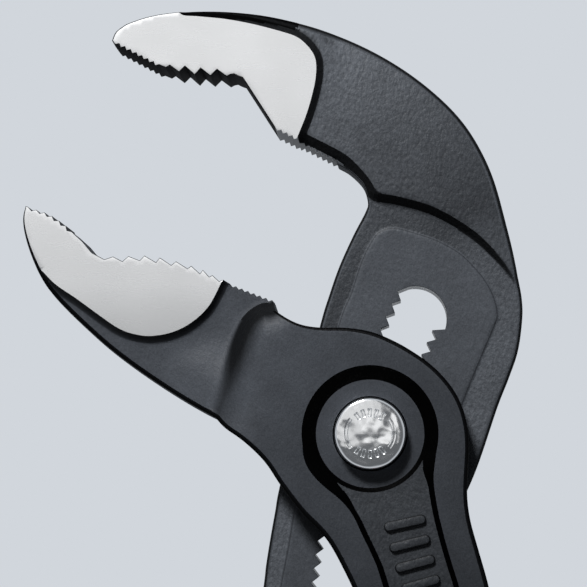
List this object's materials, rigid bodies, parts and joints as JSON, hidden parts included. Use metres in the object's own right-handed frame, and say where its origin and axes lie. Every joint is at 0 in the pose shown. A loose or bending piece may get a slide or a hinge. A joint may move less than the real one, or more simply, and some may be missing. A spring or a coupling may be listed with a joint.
{
  "type": "water pump pliers",
  "caption": "Slip-joint pliers with a box joint, angled toothed jaws, a push button that sets the jaw width along a toothed slot, and dipped plastic grips, lying on their back.",
  "frame": {"origin": "on the axis of the joint's bolt, in the plane of the back face that the tool lies on", "axes": "+Y towards the jaws, +Z out of the front face with the push button, +X towards the side where the lower jaw's lever has its handle"},
  "size_m": [0.0888, 0.25, 0.017],
  "materials": {
    "forged_steel": "satin",
    "bright_steel": "satin",
    "chrome": "polished",
    "spring_steel": "satin",
    "red_plastic": "satin"
  },
  "bodies": {
    "lower_arm": {"lower_lever": "forged_steel", "lower_grip": "red_plastic"},
    "carriage": {"spring_washer": "bright_steel", "button_spring": "spring_steel"},
    "upper_arm": {"upper_lever": "forged_steel", "upper_grip": "red_plastic"},
    "bolt": {"joint_bolt": "bright_steel", "push_button": "chrome"}
  },
  "joints": [
    {"name": "jaw_pivot", "type": "hinge", "parent": "lower_arm", "child": "carriage", "pos_m": [0, 0, 0], "axis": [0, 0, -1], "range_deg": [-4, 28]},
    {"name": "jaw_width", "type": "hinge", "parent": "carriage", "child": "upper_arm", "pos_m": [0.10519, -0.03216, 0], "axis": [0, 0, -1], "range_deg": [-7.13, 14.25]},
    {"name": "button_press", "type": "slide", "parent": "carriage", "child": "bolt", "axis": [0, 0, 1], "range_m": [-0.0018, 0], "stiffness_N_per_m": 1500, "springref_m": 0.002, "deforming": ["button_spring"]}
  ]
}
